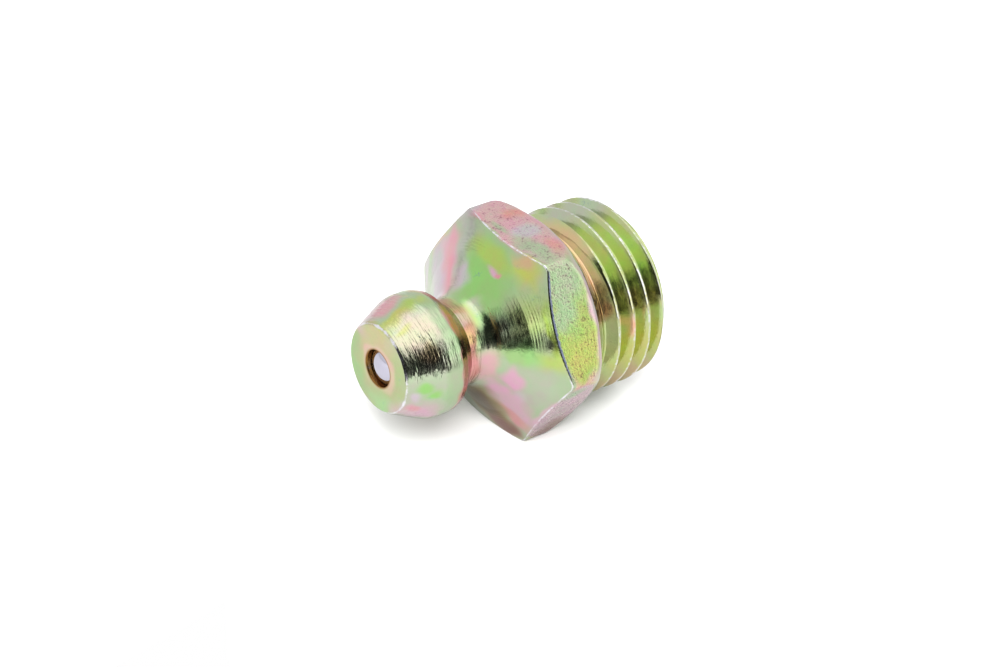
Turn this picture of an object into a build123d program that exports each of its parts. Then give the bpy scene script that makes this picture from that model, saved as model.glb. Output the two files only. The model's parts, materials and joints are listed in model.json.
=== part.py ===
from build123d import *

import os
from math import cos, radians, sin, sqrt, tan

# Straight hydraulic grease nipple with an M10 x 1 shank: a body turned from hexagon bar, a check
# ball that closes the inlet from inside, and the compression spring behind it.
#
# Millimetres and degrees. X is the nipple's axis. Its origin is the middle of the seat, the rear
# face of the hexagon: the head lies towards -X and the shank towards +X. One flat faces down, -Z.

# ---- driving dimensions: screwed shank ----
thread_nominal = 10.0  # M10 x 1
thread_pitch = 1.0
crest_allowance = 0.1  # how much the crests are under the nominal diameter
thread_depth_ratio = 0.6134  # depth of an outside metric thread, in pitches
shank_length = 5.1  # from the seat to the end face
runout_width = 0.25  # floor of the groove where the threading tool runs out
runout_depth_ratio = 1.25  # depth of that groove, in thread depths
runout_fillet = 0.15
corner_clearance = 0.05  # from the crests to the seat's inner edge, on the radius

# ---- driving dimensions: hexagon ----
flats_allowance = 0.9  # across flats, over the thread's nominal size: 10.9, for an 11 mm spanner
hexagon_corner = 0.5  # radius of the drawn bar's corners
hexagon_length = 2.85  # from the seat to the front edge of a flat, at its middle
seat_inset = 0.15  # from the flats in to the ring that seats on the machine, on the radius
waste_allowance = 1.0  # ring cut away outside the corners, on the radius
crown_radius = 1.6  # turned crown from the seat's ring over the rear ends of the corners
crown_angle = 20.0  # at which the crown leaves the seat's plane
cone_angle = 30.0  # between the turned cones and a plane square to the axis

# ---- driving dimensions: neck and coupler head ----
neck_diameter = 4.6
neck_length = 1.2
shoulder_fillet = 1.0
head_diameter = 6.5
head_rounding = 0.3  # where the land meets the nose and the heel
land_length = 0.9  # cylindrical band at the largest diameter, which the coupler's lips seal on
heel_drop = 0.15  # how much the head's rear edge is smaller than the land, on the radius
heel_length = 0.45
undercut_angle = 45.0  # back cone that the coupler's jaws grip behind
face_diameter = 4.8
face_chamfer = 0.12
nose_length = 1.95  # from the face to the land

# ---- driving dimensions: valve ----
inlet_diameter = 2.0
inlet_length = 0.35  # straight part of the inlet, in front of the ball's seat
valve_seat_angle = 90.0  # included
ball_diameter = 3.0
ball_seat_gap = 0.02
ball_clearance = 0.15  # between ball and bore, on the radius, where the grease passes
spring_wire = 0.35
spring_sides = 6  # the round wire's section is drawn as a hexagon, which keeps the solid light
spring_clearance = 0.2  # between spring and bore, on the radius
spring_seat_gap = 0.02
spring_turns = 8  # active turns
spring_closed_turns = 1  # at each end
closed_pitch_ratio = 1.04  # pitch of a closed turn, in wire diameters

# ---- driving dimensions: rolled collar that holds the spring in, in a recess of the end face ----
recess_depth = 1.3
recess_wall = 0.85  # between the recess and the thread's root
collar_wall = 0.45
collar_setback = 0.35  # from the end face in to the collar's rim
lip_overhang = 0.55  # how far the collar is rolled in over the spring's end
lip_thickness = 0.5
lip_rim = 0.1  # flat left round the outlet

# ---- derived sizes ----
thread_radius = (thread_nominal - crest_allowance) / 2
thread_depth = thread_depth_ratio * thread_pitch
runout_radius = thread_radius - runout_depth_ratio * thread_depth
cone_slope = tan(radians(cone_angle))  # along X for each millimetre of radius
flat_radius = (thread_nominal + flats_allowance) / 2
seat_radius = flat_radius - seat_inset
corner_radius = thread_radius + corner_clearance
crown_top = seat_radius + crown_radius * (1 - sin(radians(crown_angle)))
neck_radius = neck_diameter / 2
head_radius = head_diameter / 2
heel_radius = head_radius - heel_drop
undercut_length = (heel_radius - neck_radius) / tan(radians(undercut_angle))

# ---- derived places along X, from the seat towards the head and then towards the end face ----
flat_front_x = -hexagon_length
shoulder_x = flat_front_x - (flat_radius - neck_radius) * cone_slope
neck_front_x = shoulder_x - neck_length
heel_x = neck_front_x - undercut_length
land_rear_x = heel_x - heel_length
land_front_x = land_rear_x - land_length
face_x = land_front_x - nose_length
cone_end_x = flat_front_x + (crown_top - flat_radius) * cone_slope
crown_x = -crown_radius * cos(radians(crown_angle))
runout_front_x = (corner_radius - runout_radius) * cone_slope
runout_rear_x = runout_front_x + runout_width
thread_front_x = runout_rear_x + thread_radius - runout_radius
thread_end_x = shank_length - thread_depth

# ---- derived: valve ----
seat_half = radians(valve_seat_angle / 2)
inlet_radius = inlet_diameter / 2
ball_radius = ball_diameter / 2
bore_radius = ball_radius + ball_clearance
outlet_radius = bore_radius - lip_overhang
seat_x = face_x + inlet_length
bore_front_x = seat_x + (bore_radius - inlet_radius) / tan(seat_half)
seat_apex_x = seat_x - inlet_radius / tan(seat_half)
ball_x = seat_apex_x + (ball_radius + ball_seat_gap) / sin(seat_half)
collar_radius = bore_radius + collar_wall
recess_radius = thread_radius - thread_depth - recess_wall
recess_x = shank_length - recess_depth
collar_end_x = shank_length - collar_setback
collar_shoulder_x = collar_end_x - (collar_radius - outlet_radius - lip_rim) * cone_slope
lip_x = collar_end_x - lip_thickness
coil_radius = bore_radius - spring_clearance - spring_wire / 2
coil_reach = ball_radius + spring_wire / 2 + spring_seat_gap
coil_front_x = ball_x + sqrt(coil_reach**2 - coil_radius**2)
coil_rear_x = lip_x - spring_wire / 2 - spring_seat_gap
closed_pitch = closed_pitch_ratio * spring_wire
closed_length = spring_closed_turns * closed_pitch
active_length = coil_rear_x - coil_front_x - 2 * closed_length
active_pitch = active_length / spring_turns


def at(sketch, x, radius):
    """The corner of a turned profile that lies at x and radius."""
    return sketch.vertices().sort_by_distance((x, radius, 0))[0]


# ---- section of the hexagon bar ----
with BuildSketch() as bar:
    RegularPolygon(flat_radius, side_count=6, major_radius=False)
    fillet(bar.vertices(), hexagon_corner)

# ---- body: turned from hexagon bar, then drilled and rolled in at the end ----
with BuildPart() as body:
    with BuildSketch() as outside:
        with BuildLine():
            Polyline(
                (face_x, 0),
                (face_x, face_diameter / 2 - face_chamfer),
                (face_x + face_chamfer, face_diameter / 2),
                (land_front_x, head_radius),
                (land_rear_x, head_radius),
                (heel_x, heel_radius),
                (neck_front_x, neck_radius),
                (shoulder_x, neck_radius),
                (cone_end_x, crown_top),
                (crown_x, crown_top),
            )
            TangentArc((crown_x, crown_top), (0, seat_radius), tangent=(1, 0))
            Polyline(
                (0, seat_radius),
                (0, corner_radius),
                (runout_front_x, runout_radius),
                (runout_rear_x, runout_radius),
                (thread_front_x, thread_radius),
                (thread_end_x, thread_radius),
                (shank_length, thread_radius - thread_depth),
                (shank_length, recess_radius),
                (recess_x, recess_radius),
                (recess_x, collar_radius),
                (collar_shoulder_x, collar_radius),
                (collar_end_x, outlet_radius + lip_rim),
                (collar_end_x, 0),
                (face_x, 0),
            )
        make_face()
        fillet(
            [at(outside, x, head_radius) for x in (land_front_x, land_rear_x)],
            head_rounding,
        )
        fillet(at(outside, shoulder_x, neck_radius), shoulder_fillet)
        fillet(
            [at(outside, x, runout_radius) for x in (runout_front_x, runout_rear_x)],
            runout_fillet,
        )
    revolve(axis=Axis.X)

    # the six flats
    with BuildSketch(Plane.YZ.offset(flat_front_x)):
        Circle(crown_top + waste_allowance)
        add(bar.sketch, mode=Mode.SUBTRACT)
    extrude(amount=hexagon_length, mode=Mode.SUBTRACT)

    # inlet, valve seat, bore and outlet
    with BuildSketch() as inside:
        with BuildLine():
            Polyline(
                (face_x, 0),
                (face_x, inlet_radius),
                (seat_x, inlet_radius),
                (bore_front_x, bore_radius),
                (lip_x, bore_radius),
                (lip_x, outlet_radius),
                (collar_end_x, outlet_radius),
                (collar_end_x, 0),
                close=True,
            )
        make_face()
    revolve(axis=Axis.X, mode=Mode.SUBTRACT)
body.part.label = "body"

# ---- check ball, on its seat ----
with BuildPart() as ball:
    with Locations((ball_x, 0, 0)):
        Sphere(ball_radius)
ball.part.label = "ball"

# ---- spring: a closed turn at each end and the active turns between them ----
with BuildPart() as spring:
    with BuildLine() as coil:
        coil_x = coil_front_x
        for pitch, turns in (
            (closed_pitch, spring_closed_turns),
            (active_pitch, spring_turns),
            (closed_pitch, spring_closed_turns),
        ):
            Helix(pitch, pitch * turns, coil_radius, center=(coil_x, 0, 0), direction=(1, 0, 0))
            coil_x += pitch * turns
    with BuildSketch(Plane(origin=coil.line @ 0, z_dir=coil.line % 0)):
        RegularPolygon(spring_wire / 2, spring_sides)
    sweep(path=coil.line, is_frenet=True, transition=Transition.TRANSFORMED)
spring.part.label = "spring"

os.makedirs("parts", exist_ok=True)
for piece in (body, ball, spring):
    export_step(piece.part, f"parts/{piece.part.label}.step")
print(f"overall length {shank_length - face_x:.2f} mm")
print(f"ball apex {ball_x - ball_radius - face_x:+.3f} mm from the face")
print(f"spring can shorten {spring_turns * (active_pitch - spring_wire):.2f} mm before it is solid")
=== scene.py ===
"""Looks of a straight hydraulic grease nipple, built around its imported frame.

The nipple has three pieces: the body turned from hexagon bar, the check ball that closes its inlet,
and the spring behind the ball. Sizes are in millimetres until a mesh is made, which is in metres.
X is the nipple's axis, from the head towards the screwed end, and one flat of the hexagon faces down.
Angles round that axis are measured from +Y towards +Z.
"""

from __future__ import annotations

import json
import logging
import math
from dataclasses import dataclass, field, fields
from enum import Enum, IntEnum
from typing import Any, Sequence

import bpy
import numpy as np
from mathutils import Matrix, Vector, noise

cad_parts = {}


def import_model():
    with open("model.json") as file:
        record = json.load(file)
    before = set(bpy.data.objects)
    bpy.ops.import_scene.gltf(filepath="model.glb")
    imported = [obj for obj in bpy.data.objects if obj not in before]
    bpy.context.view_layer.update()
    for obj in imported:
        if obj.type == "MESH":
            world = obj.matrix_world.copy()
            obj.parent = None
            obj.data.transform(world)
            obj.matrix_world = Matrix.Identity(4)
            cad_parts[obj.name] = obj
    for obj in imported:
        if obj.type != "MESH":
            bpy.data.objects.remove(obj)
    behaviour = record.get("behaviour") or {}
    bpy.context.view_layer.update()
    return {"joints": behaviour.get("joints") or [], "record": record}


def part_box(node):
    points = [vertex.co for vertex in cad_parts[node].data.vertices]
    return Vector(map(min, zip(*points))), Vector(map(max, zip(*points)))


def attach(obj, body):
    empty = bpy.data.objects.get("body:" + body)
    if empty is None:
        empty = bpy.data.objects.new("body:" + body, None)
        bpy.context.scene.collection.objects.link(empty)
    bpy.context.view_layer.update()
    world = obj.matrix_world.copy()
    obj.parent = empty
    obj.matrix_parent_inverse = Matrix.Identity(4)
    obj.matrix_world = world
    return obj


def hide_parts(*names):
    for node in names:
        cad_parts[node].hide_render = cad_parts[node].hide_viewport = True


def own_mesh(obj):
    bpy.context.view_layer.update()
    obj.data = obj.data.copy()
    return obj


LOG = logging.getLogger("grease_nipple")
MM = 0.001
COS_30 = math.cos(math.radians(30))
TAN_30 = math.tan(math.radians(30))
SIXTH_TURN = math.radians(60)
THREAD_DEPTH_RATIO = 0.6134  # depth of an outside metric thread, in pitches
NOISE_SHIFT = Vector((31.7, 5.3, 17.9))  # to a part of the noise that is unlike the first
ARC_STEPS = 4  # rows over a rounded corner
SLOPE_STEP = 0.001  # over which a surface's slope is measured


# ---------------------------------------------------------------- colours


def linear(srgb: Sequence[float]) -> tuple[float, float, float, float]:
    """The linear colour, with alpha, of a display colour."""
    return (*(c / 12.92 if c <= 0.04045 else ((c + 0.055) / 1.055) ** 2.4 for c in srgb), 1.0)


class Tone(Enum):
    """The passivated film's interference colours, in the order in which it grows thicker.

    Each value holds the tone's place in that order, from 0 to 1, and its display colour.
    """

    ROSE = (0.00, (0.94, 0.60, 0.69))
    ORCHID = (0.09, (0.90, 0.71, 0.82))
    LAVENDER = (0.18, (0.82, 0.79, 0.85))
    SILVER = (0.25, (0.78, 0.82, 0.78))
    SAGE = (0.32, (0.66, 0.79, 0.60))
    MINT = (0.41, (0.62, 0.84, 0.50))
    LIME = (0.52, (0.71, 0.84, 0.36))
    OLIVE = (0.62, (0.80, 0.84, 0.36))
    STRAW = (0.70, (0.90, 0.86, 0.56))
    GOLD = (0.77, (0.90, 0.76, 0.46))
    PEACH = (0.85, (0.95, 0.75, 0.60))
    CORAL = (0.92, (0.92, 0.60, 0.60))
    COPPER = (1.00, (0.79, 0.50, 0.44))

    @property
    def order(self) -> float:
        """Its place in the film's order, from 0 to 1."""
        return self.value[0]

    @property
    def colour(self) -> tuple[float, float, float, float]:
        """Its linear colour."""
        return linear(self.value[1])


def angle_from(middle: float, angle: np.ndarray) -> np.ndarray:
    """How far each angle lies from a middle angle, in degrees from -180 to 180."""
    return (angle - middle + 180) % 360 - 180


@dataclass(frozen=True)
class FilmPatch:
    """A soft patch of one tone on the body.

    Attributes:
        tone: What the film shows there.
        along: Place of its middle along the outline, in millimetres from the axis.
        angle: Place of its middle round the axis, in degrees.
        length: Half its length along the outline, in millimetres.
        width: Half its width round the axis, in millimetres.
        fade: How pale the film is there, from 0 to 1.
        grime: How far the metal is darkened there, from 0 to 1; painted shade on the lower shoulder, neck and
            lower flat, slight darkening elsewhere.
        softness: Share of its size over which it fades out.
    """

    tone: Tone
    along: float
    angle: float
    length: float
    width: float
    fade: float = 0.1
    # Darkening laid by the patch, mostly painted shade.
    grime: float = 0.0
    softness: float = 1.2

    def share(
        self, along: np.ndarray, angle: np.ndarray, radius: np.ndarray, stray: np.ndarray
    ) -> np.ndarray:
        """How much of the patch shows at each point.

        Args:
            along: Distances along the outline.
            angle: Angles round the axis, in degrees.
            radius: Distances from the axis.
            stray: How far the patch's edge strays, along the outline and round the axis.

        Returns:
            Shares from 0 to 1.
        """
        off_along = (along - self.along + stray[:, 0]) / self.length
        off_round = (np.radians(angle_from(self.angle, angle)) * radius + stray[:, 1]) / self.width
        reach = np.hypot(off_along, off_round)
        share = np.clip((1 + self.softness / 2 - reach) / self.softness, 0, 1)
        return share * share * (3 - 2 * share)


# ---------------------------------------------------------------- film


FACE_FILM = (
    FilmPatch(Tone.LIME, 1.7, 180.0, 0.80, 9.0, fade=0.50, grime=0.12, softness=0.1),
    FilmPatch(Tone.STRAW, 1.75, 70.0, 0.50, 1.6, fade=0.40, grime=0.16),
    FilmPatch(Tone.MINT, 2.05, 335.0, 0.40, 1.9, fade=0.30, grime=0.08),
    FilmPatch(Tone.MINT, 1.95, 250.0, 0.45, 1.0, fade=0.40),
    FilmPatch(Tone.PEACH, 1.15, 100.0, 0.24, 3.0, fade=0.50),
)
NOSE_FILM = (
    FilmPatch(Tone.SAGE, 3.5, 180.0, 1.20, 12.0, fade=0.55, softness=0.1),
    FilmPatch(Tone.ORCHID, 3.3, 42.0, 1.20, 0.6, fade=0.60),
    FilmPatch(Tone.ROSE, 3.6, 62.0, 0.90, 0.50, fade=0.40),
    FilmPatch(Tone.OLIVE, 3.2, 88.0, 1.10, 0.42, fade=0.20),
    FilmPatch(Tone.LIME, 4.2, 84.0, 0.45, 0.38, fade=0.20),
    FilmPatch(Tone.STRAW, 3.4, 117.0, 1.30, 1.05, fade=0.72),
    FilmPatch(Tone.OLIVE, 3.1, 108.0, 0.50, 0.20, fade=0.40),
    FilmPatch(Tone.GOLD, 3.7, 141.0, 0.50, 0.45, fade=0.50),
    FilmPatch(Tone.SAGE, 3.4, 170.0, 1.10, 0.45, fade=0.45),
    FilmPatch(Tone.MINT, 3.3, 177.0, 0.38, 0.24, fade=0.05),
    FilmPatch(Tone.MINT, 4.0, 184.0, 0.42, 0.30, fade=0.05),
    FilmPatch(Tone.LAVENDER, 3.0, 187.0, 0.30, 0.26, fade=0.35),
    FilmPatch(Tone.ORCHID, 3.3, 216.0, 1.10, 0.85, fade=0.30),
    FilmPatch(Tone.ROSE, 2.9, 206.0, 0.28, 0.35, fade=0.35),
)
NECK_FILM = (
    FilmPatch(Tone.SAGE, 4.95, 180.0, 0.40, 13.0, fade=0.25, softness=0.6),
    FilmPatch(Tone.LIME, 4.90, 87.0, 0.30, 0.45, fade=0.30),
    FilmPatch(Tone.COPPER, 6.45, 180.0, 1.10, 13.0, fade=0.20, softness=0.3),
    FilmPatch(Tone.COPPER, 5.85, 102.0, 0.22, 0.80, fade=0.20),
    FilmPatch(Tone.OLIVE, 6.60, 96.0, 0.50, 0.22, fade=0.30),
    FilmPatch(Tone.ORCHID, 6.65, 114.0, 0.60, 0.28, fade=0.60),
    # Painted shade: a slight darkening of the neck under the head.
    FilmPatch(Tone.GOLD, 6.50, 138.0, 0.80, 0.60, fade=0.20, grime=0.10),
    FilmPatch(Tone.CORAL, 6.90, 178.0, 0.60, 0.60, fade=0.20),
)
SHOULDER_FILM = (
    FilmPatch(Tone.SAGE, 10.0, 180.0, 2.30, 20.0, fade=0.35, softness=0.1),
    FilmPatch(Tone.MINT, 9.6, 92.0, 2.00, 1.95, fade=0.05),
    # Painted highlight: a nearly white patch where the fillet catches the light.
    FilmPatch(Tone.LIME, 8.2, 106.0, 0.45, 0.45, fade=0.80),
    FilmPatch(Tone.LIME, 10.8, 88.0, 0.60, 1.50, fade=0.15),
    FilmPatch(Tone.LAVENDER, 9.2, 67.0, 0.75, 0.50, fade=0.30),
    FilmPatch(Tone.ORCHID, 10.15, 97.0, 0.20, 0.45, fade=0.20),
    FilmPatch(Tone.ROSE, 10.25, 104.0, 0.14, 0.18, fade=0.10),
    FilmPatch(Tone.ORCHID, 9.8, 38.0, 2.00, 1.30, fade=0.25),
    FilmPatch(Tone.ROSE, 9.4, 42.0, 1.60, 0.60, fade=0.25),
    FilmPatch(Tone.ROSE, 10.9, 48.0, 0.60, 0.50, fade=0.45),
    FilmPatch(Tone.SILVER, 10.9, 61.0, 1.20, 0.45, fade=0.30, grime=0.08),
    FilmPatch(Tone.OLIVE, 11.4, 117.0, 0.60, 0.90, fade=0.15),
    FilmPatch(Tone.GOLD, 11.6, 110.0, 0.32, 0.60, fade=0.35, grime=0.05),
    FilmPatch(Tone.LIME, 10.7, 142.0, 1.10, 1.20, fade=0.35),
    FilmPatch(Tone.LIME, 11.75, 152.0, 0.30, 1.80, fade=0.05),
    FilmPatch(Tone.MINT, 9.8, 166.0, 1.60, 0.55, fade=0.15),
    FilmPatch(Tone.ROSE, 8.1, 186.0, 0.55, 1.10, fade=0.50),
    FilmPatch(Tone.SAGE, 8.75, 178.0, 0.32, 0.50, fade=0.40),
    FilmPatch(Tone.SAGE, 10.8, 194.0, 1.00, 1.30, fade=0.60),
    FilmPatch(Tone.LIME, 11.3, 168.0, 0.60, 0.60, fade=0.20),
    FilmPatch(Tone.ORCHID, 9.4, 192.0, 0.50, 0.70, fade=0.05),
    FilmPatch(Tone.ORCHID, 8.9, 216.0, 0.60, 0.60, fade=0.15),
    FilmPatch(Tone.SILVER, 10.1, 208.0, 0.50, 0.60, fade=0.30),
    FilmPatch(Tone.ORCHID, 10.5, 221.0, 1.40, 0.90, fade=0.20),
    FilmPatch(Tone.CORAL, 10.7, 230.0, 1.20, 0.35, fade=0.35),
    # Painted shade: the lower shoulder mirrors the floor's shadow here, so these two patches darken its film
    # heavily.
    FilmPatch(Tone.GOLD, 9.8, 252.0, 1.70, 1.20, fade=0.10, grime=0.85),
    FilmPatch(Tone.COPPER, 11.4, 246.0, 0.60, 0.90, fade=0.10, grime=0.65),
    FilmPatch(Tone.LAVENDER, 9.6, 22.0, 2.40, 0.90, fade=0.30, grime=0.10),
)
FLAT_FILM = (
    FilmPatch(Tone.ROSE, 13.3, 90.0, 1.40, 3.4, fade=0.55, softness=0.2),
    FilmPatch(Tone.LAVENDER, 13.2, 91.0, 0.60, 0.50, fade=0.40),
    FilmPatch(Tone.SAGE, 12.7, 107.0, 0.50, 1.20, fade=0.35),
    FilmPatch(Tone.SAGE, 12.4, 82.0, 0.22, 0.50, fade=0.35),
    FilmPatch(Tone.CORAL, 13.6, 74.0, 0.50, 0.45, fade=0.15),
    FilmPatch(Tone.CORAL, 13.8, 110.0, 0.45, 0.60, fade=0.25),
    FilmPatch(Tone.LIME, 13.1, 150.0, 1.40, 3.15, fade=0.20, softness=0.15),
    FilmPatch(Tone.MINT, 12.6, 143.0, 0.45, 1.20, fade=0.50),
    FilmPatch(Tone.MINT, 13.0, 127.0, 1.20, 1.30, fade=0.55),
    FilmPatch(Tone.OLIVE, 13.1, 168.0, 1.20, 0.90, fade=0.20),
    FilmPatch(Tone.ORCHID, 14.35, 150.0, 0.28, 3.2, fade=0.40),
    FilmPatch(Tone.ORCHID, 13.2, 210.0, 1.50, 3.1, fade=0.45, softness=0.2),
    FilmPatch(Tone.SAGE, 12.8, 187.0, 0.60, 0.40, fade=0.35),
    # Painted shade: the lower flat is darkened towards its bottom corner.
    FilmPatch(Tone.COPPER, 13.6, 232.0, 0.90, 1.00, fade=0.40, grime=0.35),
    FilmPatch(Tone.SILVER, 15.2, 180.0, 0.70, 20.0, fade=0.60),
)
SHANK_FILM = (
    FilmPatch(Tone.LIME, 18.8, 180.0, 2.50, 20.0, fade=0.45, softness=0.1),
    FilmPatch(Tone.LAVENDER, 18.8, 38.0, 2.50, 1.10, fade=0.80),
    FilmPatch(Tone.SAGE, 18.8, 74.0, 2.30, 1.10, fade=0.55),
    FilmPatch(Tone.LIME, 18.7, 128.0, 2.20, 0.90, fade=0.35),
    FilmPatch(Tone.OLIVE, 18.6, 152.0, 2.20, 0.80, fade=0.40),
    FilmPatch(Tone.GOLD, 16.6, 112.0, 0.45, 3.20, fade=0.35),
    FilmPatch(Tone.PEACH, 16.4, 138.0, 0.30, 1.30, fade=0.30),
    FilmPatch(Tone.GOLD, 16.7, 148.0, 0.35, 1.00, fade=0.15),
    FilmPatch(Tone.PEACH, 18.15, 168.0, 0.25, 0.55, fade=0.15),
    FilmPatch(Tone.OLIVE, 19.0, 188.0, 2.00, 1.30, fade=0.25),
    FilmPatch(Tone.GOLD, 18.8, 214.0, 2.20, 0.90, fade=0.45),
)


@dataclass(frozen=True)
class EdgeWear:
    """A line of wear along an edge that runs round the axis.

    Attributes:
        along: The edge's place along the outline, in millimetres.
        start: Angle at which it starts, in degrees.
        end: Angle at which it ends.
        width: Half its width, in millimetres.
        level: 1 for an edge worn bright, -1 for one that is dull and dark.
        core: Share of its half width that is worn in full.
        end_fade: Angle over which each end fades out.
    """

    along: float
    start: float
    end: float
    width: float
    level: float
    core: float = 0.4
    end_fade: float = 3.0

    def at(self, along: np.ndarray, angle: np.ndarray) -> np.ndarray:
        """The wear at each point.

        Args:
            along: Distances along the outline.
            angle: Angles round the axis, in degrees.

        Returns:
            Values from 0 to the edge's level.
        """
        middle, reach = (self.start + self.end) / 2, (self.end - self.start) / 2
        off = np.abs(angle_from(middle, angle))
        inside = np.clip((reach - off) / self.end_fade + 0.5, 0, 1)
        near = np.clip(1 + self.core - np.abs(along - self.along) / self.width, 0, 1)
        return self.level * inside * near


@dataclass(frozen=True)
class Film:
    """The passivated film over the body: slow drifts of its thickness, with patches laid over them.

    Attributes:
        middle: The film's middle order.
        drift: How far the order drifts from it.
        drift_scale: Waves of the drift in a millimetre.
        paleness: How pale the film is where no patch lies.
        warp: How far patch edges stray, in millimetres.
        warp_scale: Waves of that straying in a millimetre.
        pale: Display colour where the film is faint.
        inside: Display colour in the grease passage: gold film darkened as painted shade in the bore.
        crest_wear: How bright the thread's crests are worn.
        patches: The patches, each over those before it.
        edges: The worn edges.
        turned: Depth of the turning marks at places along the outline, as a share of the deepest.
    """

    middle: float = 0.34
    drift: float = 0.85
    drift_scale: float = 0.3
    paleness: float = 0.42
    warp: float = 0.4
    warp_scale: float = 1.2
    pale: tuple[float, float, float] = (0.81, 0.80, 0.79)
    # Gold film darkened to bronze: painted shade for the deep bore.
    inside: tuple[float, float, float] = (0.60, 0.44, 0.24)
    crest_wear: float = 0.6
    patches: tuple[FilmPatch, ...] = (
        *FACE_FILM,
        *NOSE_FILM,
        *NECK_FILM,
        *SHOULDER_FILM,
        *FLAT_FILM,
        *SHANK_FILM,
    )
    edges: tuple[EdgeWear, ...] = (
        EdgeWear(2.36, 0.0, 360.0, 0.08, 0.7),
        EdgeWear(12.0, 0.0, 360.0, 0.055, 0.7),
        EdgeWear(12.08, 122.0, 176.0, 0.09, -1.2),
    )
    turned: tuple[tuple[float, float], ...] = (
        (2.3, 0.20),
        (2.6, 1.00),
        (4.4, 1.00),
        (4.8, 0.45),
        (5.6, 0.30),
        (8.4, 0.25),
        (9.2, 0.09),
        (12.0, 0.07),
        (16.0, 0.30),
        (17.0, 0.10),
    )

    def ground(self, points: np.ndarray) -> np.ndarray:
        """The film where no patch lies.

        Args:
            points: Places in millimetres.

        Returns:
            The linear colour at each point.
        """
        drift = np.array([noise.noise(Vector(p) * self.drift_scale) for p in points])
        order = np.clip(self.middle + self.drift * drift, 0, 1)
        orders, colours = [tone.order for tone in Tone], np.array([tone.colour for tone in Tone])
        film = np.stack([np.interp(order, orders, channel) for channel in colours.T], 1)
        return film + (np.array(linear(self.pale)) - film) * self.paleness

    def stray(self, points: np.ndarray) -> np.ndarray:
        """How far patch edges stray at each point, along the outline and round the axis."""
        places = [Vector(p) * self.warp_scale for p in points]
        return np.array([[noise.noise(q), noise.noise(q + NOISE_SHIFT)] for q in places]) * self.warp

    def over(
        self, points: np.ndarray, along: np.ndarray, passage: np.ndarray, crest: np.ndarray
    ) -> dict[str, np.ndarray]:
        """The film and the kind of surface at each point.

        Args:
            points: Places in millimetres.
            along: Distances along the outline.
            passage: Which points lie in the grease passage.
            crest: How near each point is to the top of a thread's crest, from 0 to 1.

        Returns:
            Values for the mesh attributes film, grime, worn and turned; the second carries the painted shade.
        """
        radius = np.hypot(points[:, 1], points[:, 2])
        angle = np.degrees(np.arctan2(points[:, 2], points[:, 1]))
        stray = self.stray(points)
        film, grime = self.ground(points), np.zeros(len(points))
        for patch in self.patches:
            share = patch.share(along, angle, radius, stray)
            colour = np.array(patch.tone.colour) * (1 - patch.fade) + np.array(linear(self.pale)) * patch.fade
            film += (colour - film) * share[:, None]
            # Each patch also lays its darkening, which is mostly painted shade.
            grime += (patch.grime - grime) * share
        worn = np.clip(sum(edge.at(along, angle) for edge in self.edges), -1, 1)
        worn = np.where(passage, 0.0, worn)
        return {
            # The passage wall takes that darkened gold, painted shade of the bore.
            "film": np.where(passage[:, None], np.array(linear(self.inside)), film),
            "grime": np.where(passage, 0.0, grime),
            "worn": np.where(crest > 0, self.crest_wear * crest, worn),
            "turned": np.interp(along, *zip(*self.turned)),
        }


# ---------------------------------------------------------------- shader nodes


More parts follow.
